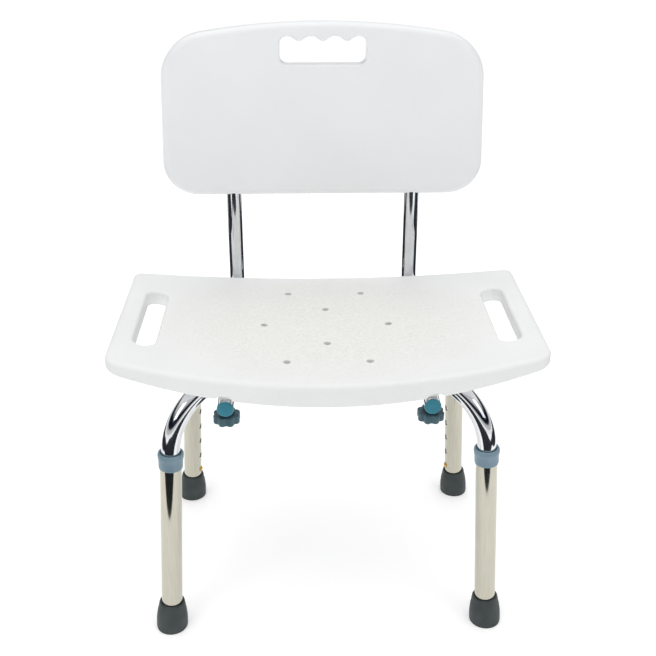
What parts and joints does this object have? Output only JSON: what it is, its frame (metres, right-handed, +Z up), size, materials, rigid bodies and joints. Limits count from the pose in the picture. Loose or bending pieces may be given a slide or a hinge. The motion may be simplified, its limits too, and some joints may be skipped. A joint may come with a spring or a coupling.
{
  "type": "shower chair",
  "caption": "Free-standing shower chair: dished slotted seat and handled backrest in moulded plastic on a crossed tube frame with telescoping rubber-tipped legs.",
  "frame": {"origin": "on the floor, at the centre of the whole chair's bounding box seen from above, legs at their lowest", "axes": "+Z up, +Y towards the backrest (the sitter faces -Y), +X to the sitter's left, which is the right side seen from the front"},
  "size_m": [0.5, 0.344, 0.6814],
  "materials": {
    "seat_shell": "fine moulded texture, satin",
    "back_shell": "smooth moulded, satin",
    "brass": "turned, bright",
    "bright_tube": "polished to a mirror and clear anodised",
    "steel_screws": "zinc plated",
    "spring_steel": "blued spring steel",
    "leg_tube": "polished, champagne anodised",
    "collar_plastic": "moulded, semi-gloss grey-blue",
    "plug_plastic": "moulded, semi-gloss teal",
    "knob_plastic": "moulded, semi-gloss dark teal",
    "rubber": "moulded matt rubber"
  },
  "bodies": {
    "seat_and_frame": {"seat_panel": "seat_shell", "seat_inserts": "brass", "cross_tube_left": "bright_tube", "cross_tube_right": "bright_tube", "frame_screws": "steel_screws", "back_tube_left": "bright_tube", "back_tube_right": "bright_tube", "end_plug_left": "plug_plastic", "end_plug_right": "plug_plastic", "tube_saddle_left": "collar_plastic", "tube_saddle_right": "collar_plastic", "saddle_screws": "steel_screws", "backrest_panel": "back_shell", "backrest_screws": "steel_screws"},
    "leg_front_left": {"leg_tube_front_left": "leg_tube", "collar_front_left": "collar_plastic", "foot_front_left": "rubber", "foot_washer_front_left": "steel_screws"},
    "button_front_left": {"snap_button_front_left": "brass", "button_spring_front_left": "spring_steel"},
    "leg_front_right": {"leg_tube_front_right": "leg_tube", "collar_front_right": "collar_plastic", "foot_front_right": "rubber", "foot_washer_front_right": "steel_screws"},
    "button_front_right": {"snap_button_front_right": "brass", "button_spring_front_right": "spring_steel"},
    "leg_rear_left": {"leg_tube_rear_left": "leg_tube", "collar_rear_left": "collar_plastic", "foot_rear_left": "rubber", "foot_washer_rear_left": "steel_screws"},
    "button_rear_left": {"snap_button_rear_left": "brass", "button_spring_rear_left": "spring_steel"},
    "leg_rear_right": {"leg_tube_rear_right": "leg_tube", "collar_rear_right": "collar_plastic", "foot_rear_right": "rubber", "foot_washer_rear_right": "steel_screws"},
    "button_rear_right": {"snap_button_rear_right": "brass", "button_spring_rear_right": "spring_steel"},
    "washer_left": {"saddle_washer_left": "rubber"},
    "knob_left": {"knob_left": "knob_plastic", "knob_stud_left": "steel_screws"},
    "washer_right": {"saddle_washer_right": "rubber"},
    "knob_right": {"knob_right": "knob_plastic", "knob_stud_right": "steel_screws"}
  },
  "joints": [
    {"name": "front_left_height", "type": "slide", "parent": "seat_and_frame", "child": "leg_front_left", "axis": [-0.0557, -0.039, -0.9977], "range_m": [0, 0.1524]},
    {"name": "front_left_button", "type": "slide", "parent": "seat_and_frame", "child": "button_front_left", "axis": [-0.6, -0.7974, 0.0647], "range_m": [0, 0.0045], "stiffness_N_per_m": 1500, "springref_m": -0.002, "deforming": ["button_spring_front_left"]},
    {"name": "front_right_height", "type": "slide", "parent": "seat_and_frame", "child": "leg_front_right", "axis": [0.0557, -0.039, -0.9977], "range_m": [0, 0.1524]},
    {"name": "front_right_button", "type": "slide", "parent": "seat_and_frame", "child": "button_front_right", "axis": [0.6, -0.7974, 0.0647], "range_m": [0, 0.0045], "stiffness_N_per_m": 1500, "springref_m": -0.002, "deforming": ["button_spring_front_right"]},
    {"name": "rear_left_height", "type": "slide", "parent": "seat_and_frame", "child": "leg_rear_left", "axis": [-0.0557, 0.039, -0.9977], "range_m": [0, 0.1524]},
    {"name": "rear_left_button", "type": "slide", "parent": "seat_and_frame", "child": "button_rear_left", "axis": [-0.9545, 0.2911, 0.0647], "range_m": [0, 0.0045], "stiffness_N_per_m": 1500, "springref_m": -0.002, "deforming": ["button_spring_rear_left"]},
    {"name": "rear_right_height", "type": "slide", "parent": "seat_and_frame", "child": "leg_rear_right", "axis": [0.0557, 0.039, -0.9977], "range_m": [0, 0.1524]},
    {"name": "rear_right_button", "type": "slide", "parent": "seat_and_frame", "child": "button_rear_right", "axis": [0.9545, 0.2911, 0.0647], "range_m": [0, 0.0045], "stiffness_N_per_m": 1500, "springref_m": -0.002, "deforming": ["button_spring_rear_right"]},
    {"name": "knob_left_travel", "type": "slide", "parent": "seat_and_frame", "child": "washer_left", "axis": [0, 0, -1], "range_m": [0, 0.011]},
    {"name": "knob_left_turn", "type": "hinge", "parent": "washer_left", "child": "knob_left", "pos_m": [-0.118, -0.12314, 0.2835], "axis": [0, 0, -1], "range_deg": [0, 3960]},
    {"name": "knob_right_travel", "type": "slide", "parent": "seat_and_frame", "child": "washer_right", "axis": [0, 0, -1], "range_m": [0, 0.011]},
    {"name": "knob_right_turn", "type": "hinge", "parent": "washer_right", "child": "knob_right", "pos_m": [0.118, -0.12314, 0.2835], "axis": [0, 0, -1], "range_deg": [0, 3960]}
  ],
  "couplings": [
    {"joint": "knob_left_turn", "follows": "knob_left_travel", "rad_per_m": 6283.2},
    {"joint": "knob_right_turn", "follows": "knob_right_travel", "rad_per_m": 6283.2}
  ]
}
